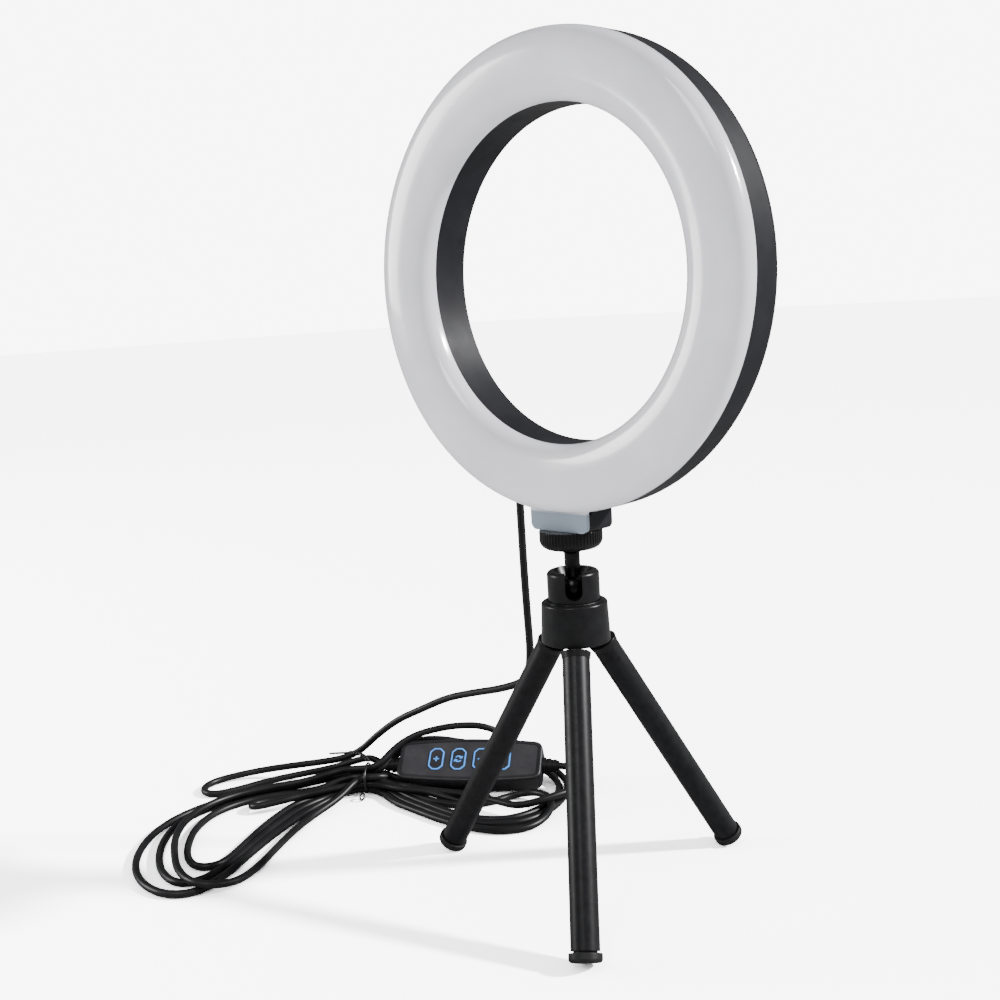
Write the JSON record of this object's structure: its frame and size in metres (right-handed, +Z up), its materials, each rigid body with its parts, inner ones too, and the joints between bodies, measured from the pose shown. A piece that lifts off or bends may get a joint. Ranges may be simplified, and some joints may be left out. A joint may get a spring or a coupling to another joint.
{
  "type": "ring light",
  "caption": "Small desk ring lamp with a domed white front on a knurled ball head and folding pocket tripod, with a push-button controller in its tied USB cord.",
  "frame": {"origin": "on the table, under the middle of the lamp and its spread tripod", "axes": "+Z up the tripod, and the lamp faces -Y"},
  "size_m": [0.2827, 0.1754, 0.2967],
  "materials": {
    "white_diffuser": "glossy milky",
    "black_housing": "satin black",
    "board_white": "matte solder mask",
    "led_cool": "clear lens",
    "led_warm": "amber lens",
    "screw_steel": "blackened",
    "insert_brass": "machined",
    "stud_steel": "polished dark",
    "black_plastic": "glossy black",
    "pad_plastic": "plain",
    "leg_coat": "satin black coat",
    "foot_rubber": "soft black",
    "case_black": "fine texture",
    "overlay_film": "dark film",
    "button_film": "dark film",
    "blue_ink": "printed",
    "board_green": "solder mask",
    "switch_metal": "plain",
    "cord_black": "smooth jacket",
    "tie_black": "smooth",
    "plug_nickel": "bright nickel",
    "plug_tongue_blue": "plain"
  },
  "bodies": {
    "light_head": {"diffuser": "white_diffuser", "rear_housing": "black_housing", "led_board": "board_white", "cool_leds": "led_cool", "warm_leds": "led_warm", "housing_screws": "screw_steel", "tripod_insert": "insert_brass", "lead_gland": "cord_black", "controller_top": "case_black", "controller_base": "case_black", "controller_overlay": "overlay_film", "button_frames": "blue_ink", "controller_board": "board_green", "key_switches": "switch_metal", "controller_screws": "screw_steel", "boot_in": "cord_black", "boot_out": "cord_black", "plug_body": "case_black", "plug_shell": "plug_nickel", "plug_tongue": "plug_tongue_blue", "twist_tie": "tie_black", "cord_hank": "cord_black", "cord_loops": "cord_black", "ring_lead": "cord_black", "controller_lead_in": "cord_black", "controller_lead_out": "cord_black", "plug_lead": "cord_black"},
    "stem": {"ball_stud": "stud_steel", "knurled_knob": "black_plastic"},
    "socket": {"ball_socket": "black_plastic", "ball_pad": "pad_plastic"},
    "hub": {"leg_hub": "black_plastic", "leg_pins": "screw_steel"},
    "front_leg": {"leg_top_front": "black_plastic", "leg_tube_front": "leg_coat", "leg_rivet_front": "screw_steel", "foot_front": "foot_rubber"},
    "right_leg": {"leg_top_right": "black_plastic", "leg_tube_right": "leg_coat", "leg_rivet_right": "screw_steel", "foot_right": "foot_rubber"},
    "left_leg": {"leg_top_left": "black_plastic", "leg_tube_left": "leg_coat", "leg_rivet_left": "screw_steel", "foot_left": "foot_rubber"},
    "brighter_button": {"brighter_button": "button_film"},
    "mode_button": {"mode_button": "button_film"},
    "dimmer_button": {"dimmer_button": "button_film"},
    "power_button": {"power_button": "button_film"}
  },
  "joints": [
    {"name": "head_swivel", "type": "hinge", "parent": "light_head", "child": "stem", "pos_m": [0, -0.00457, 0.1303], "axis": [0, 0, 1], "continuous": true, "deforming": ["cord_loops", "controller_lead_out"]},
    {"name": "ball_tilt", "type": "hinge", "parent": "stem", "child": "socket", "pos_m": [0, -0.00457, 0.1094], "axis": [-0.7536, -0.6574, 0], "range_deg": [-18, 90], "deforming": ["ring_lead"]},
    {"name": "tripod_pan", "type": "hinge", "parent": "socket", "child": "hub", "pos_m": [0, -0.00457, 0.1048], "axis": [0, 0, 1], "continuous": true, "deforming": ["cord_loops", "controller_lead_out"]},
    {"name": "front_leg_fold", "type": "hinge", "parent": "hub", "child": "front_leg", "pos_m": [0.00438, -0.01003, 0.0941], "axis": [0.7804, 0.6252, 0], "range_deg": [0, 31]},
    {"name": "right_leg_fold", "type": "hinge", "parent": "hub", "child": "right_leg", "pos_m": [0.00254, 0.00195, 0.0941], "axis": [-0.9317, 0.3633, 0], "range_deg": [0, 31]},
    {"name": "left_leg_fold", "type": "hinge", "parent": "hub", "child": "left_leg", "pos_m": [-0.00692, -0.00563, 0.0941], "axis": [0.1513, -0.9885, 0], "range_deg": [0, 31]},
    {"name": "brighter_button_press", "type": "slide", "parent": "light_head", "child": "brighter_button", "axis": [-0.3207, 0.4755, -0.8192], "range_m": [0, 0.0004], "stiffness_N_per_m": 400},
    {"name": "mode_button_press", "type": "slide", "parent": "light_head", "child": "mode_button", "axis": [-0.3207, 0.4755, -0.8192], "range_m": [0, 0.0004], "stiffness_N_per_m": 400},
    {"name": "dimmer_button_press", "type": "slide", "parent": "light_head", "child": "dimmer_button", "axis": [-0.3207, 0.4755, -0.8192], "range_m": [0, 0.0004], "stiffness_N_per_m": 400},
    {"name": "power_button_press", "type": "slide", "parent": "light_head", "child": "power_button", "axis": [-0.3207, 0.4755, -0.8192], "range_m": [0, 0.0004], "stiffness_N_per_m": 400}
  ]
}
